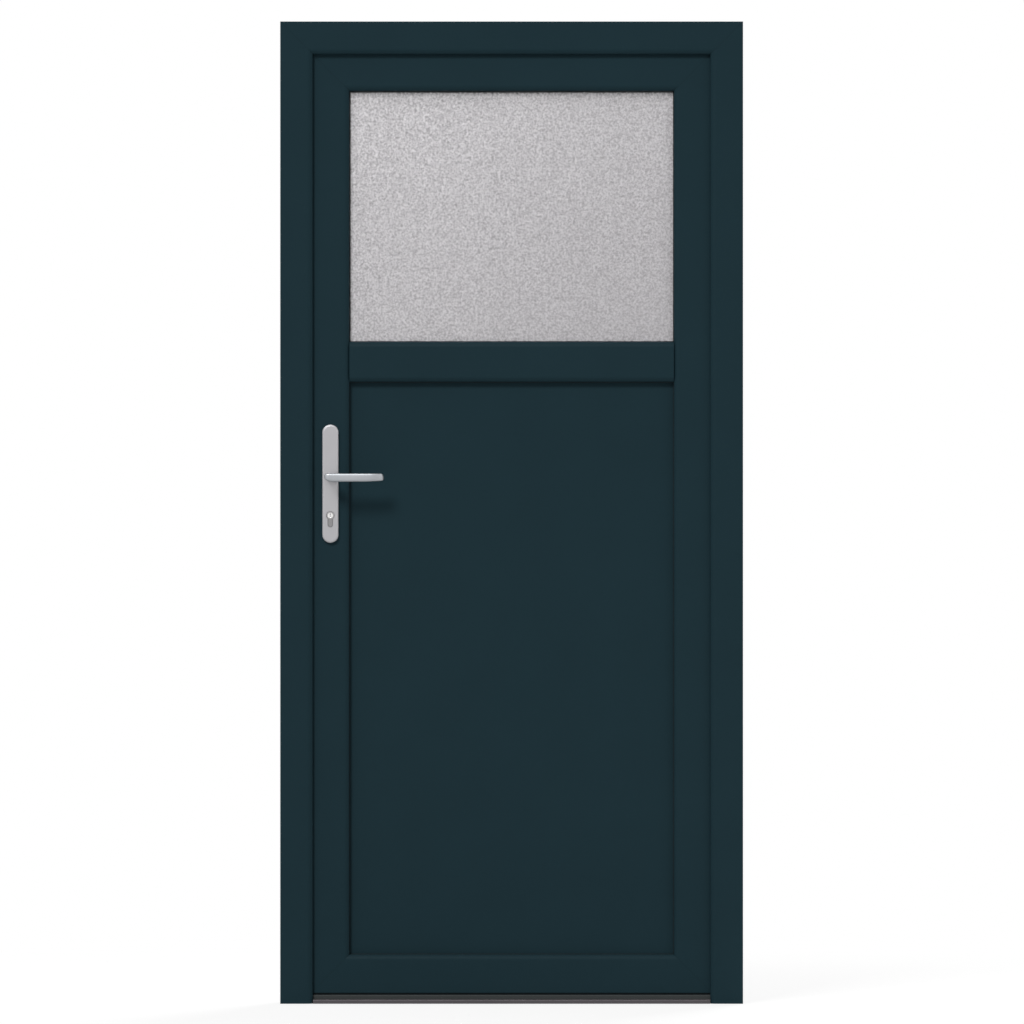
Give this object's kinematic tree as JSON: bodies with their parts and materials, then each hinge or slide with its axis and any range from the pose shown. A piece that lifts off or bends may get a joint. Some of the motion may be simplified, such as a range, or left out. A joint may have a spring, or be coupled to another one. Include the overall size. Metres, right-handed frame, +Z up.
{
  "type": "panelled front door",
  "caption": "One-leaf entrance door in its frame: figured glass above a middle rail, flat panel below, lever handle, profile cylinder, low metal threshold. Opens inwards.",
  "frame": {"origin": "underside of the threshold, at the middle of the frame's width and depth", "axes": "+Z up along the jambs, +X to the right seen from outside, +Y into the house through the leaf's thickness"},
  "size_m": [0.98, 0.1885, 2.08],
  "materials": {
    "profile_foil": "dark teal-anthracite foil on hollow plastic profile, finely grained, satin",
    "bead_foil": "the same foil on the glazing beads, with a black soft lip",
    "panel_skin": "the same foil on a flat panel",
    "galvanised_steel": "galvanised, spangled",
    "seal_rubber": "black, matt",
    "ornament_glass": "finely figured, light grey, lets light through but no view",
    "clear_glass": "clear float glass",
    "spacer_alloy": "mill finish",
    "edge_sealant": "black sealant",
    "block_plastic": "moulded setting blocks",
    "threshold_alloy": "dark anodised aluminium, extruded",
    "handle_alloy": "satin anodised aluminium",
    "cylinder_nickel": "nickel plated brass",
    "lock_steel": "zinc plated steel",
    "hinge_paint": "anthracite powder coat, satin",
    "screw_steel": "zinc plated",
    "bush_nylon": "black nylon",
    "cast_zinc": "raw zinc casting"
  },
  "bodies": {
    "frame": {"frame_jamb_lock": "profile_foil", "frame_jamb_hinge": "profile_foil", "frame_head": "profile_foil", "steel_jamb_lock": "galvanised_steel", "steel_jamb_hinge": "galvanised_steel", "steel_head": "galvanised_steel", "frame_seal": "seal_rubber", "threshold": "threshold_alloy", "threshold_seal": "seal_rubber", "strike_plate": "lock_steel", "strike_screws": "screw_steel", "hinge_frame_brackets": "hinge_paint", "hinge_frame_screws": "screw_steel", "hinge_pins": "lock_steel", "hinge_caps": "hinge_paint"},
    "leaf": {"cylinder_body": "cylinder_nickel", "cylinder_screw": "screw_steel", "door_panel": "panel_skin", "glass_beads_across": "bead_foil", "glass_beads_upright": "bead_foil", "glass_edge_seal": "edge_sealant", "glass_gasket_outside": "seal_rubber", "glass_spacer": "spacer_alloy", "glazing_blocks": "block_plastic", "hinge_bushes": "bush_nylon", "hinge_leaf_brackets": "hinge_paint", "hinge_leaf_screws": "screw_steel", "leaf_seal": "seal_rubber", "lock_case": "lock_steel", "lock_faceplate": "lock_steel", "lock_screws": "screw_steel", "mid_rail": "profile_foil", "mid_rail_connectors": "cast_zinc", "pane_inside": "clear_glass", "pane_outside": "ornament_glass", "panel_beads_across": "bead_foil", "panel_beads_upright": "bead_foil", "panel_gasket_outside": "seal_rubber", "plate_inside": "handle_alloy", "plate_outside": "handle_alloy", "plate_screws": "screw_steel", "sash_rail_bottom": "profile_foil", "sash_rail_top": "profile_foil", "sash_stile_hinge": "profile_foil", "sash_stile_lock": "profile_foil", "steel_mid_rail": "galvanised_steel", "steel_rail_bottom": "galvanised_steel", "steel_rail_top": "galvanised_steel", "steel_stile_hinge": "galvanised_steel", "steel_stile_lock": "galvanised_steel"},
    "handles": {"lever_outside": "handle_alloy", "lever_inside": "handle_alloy", "spindle": "lock_steel", "follower": "lock_steel"},
    "latch_bolt": {"latch": "cylinder_nickel"},
    "dead_bolt": {"deadbolt": "cylinder_nickel"},
    "outside_key": {"plug_outside": "cylinder_nickel", "cam": "lock_steel"},
    "inside_key": {"plug_inside": "cylinder_nickel"}
  },
  "joints": [
    {"name": "leaf_swing", "type": "hinge", "parent": "frame", "child": "leaf", "pos_m": [0.455, 0.062, 1.04], "axis": [0, 0, -1], "range_deg": [0, 110]},
    {"name": "lever_turn", "type": "hinge", "parent": "leaf", "child": "handles", "pos_m": [-0.384, 0, 1.115], "axis": [0, 1, 0], "range_deg": [0, 40], "stiffness_Nm_per_rad": 1.5, "springref_deg": -34.38},
    {"name": "latch_slide", "type": "slide", "parent": "leaf", "child": "latch_bolt", "axis": [1, 0, 0], "range_m": [0, 0.0115]},
    {"name": "key_turn", "type": "hinge", "parent": "leaf", "child": "outside_key", "pos_m": [-0.384, 0, 1.034], "axis": [0, -1, 0], "range_deg": [0, 360]},
    {"name": "bolt_slide", "type": "slide", "parent": "leaf", "child": "dead_bolt", "axis": [-1, 0, 0], "range_m": [0, 0.018]},
    {"name": "inside_key_turn", "type": "hinge", "parent": "leaf", "child": "inside_key", "pos_m": [-0.384, 0, 1.034], "axis": [0, 1, 0], "range_deg": [0, 360]}
  ],
  "couplings": [
    {"joint": "latch_slide", "follows": "lever_turn", "m_per_rad": 0.01647},
    {"joint": "key_turn", "follows": "bolt_slide", "rad_per_m": 349.06}
  ]
}
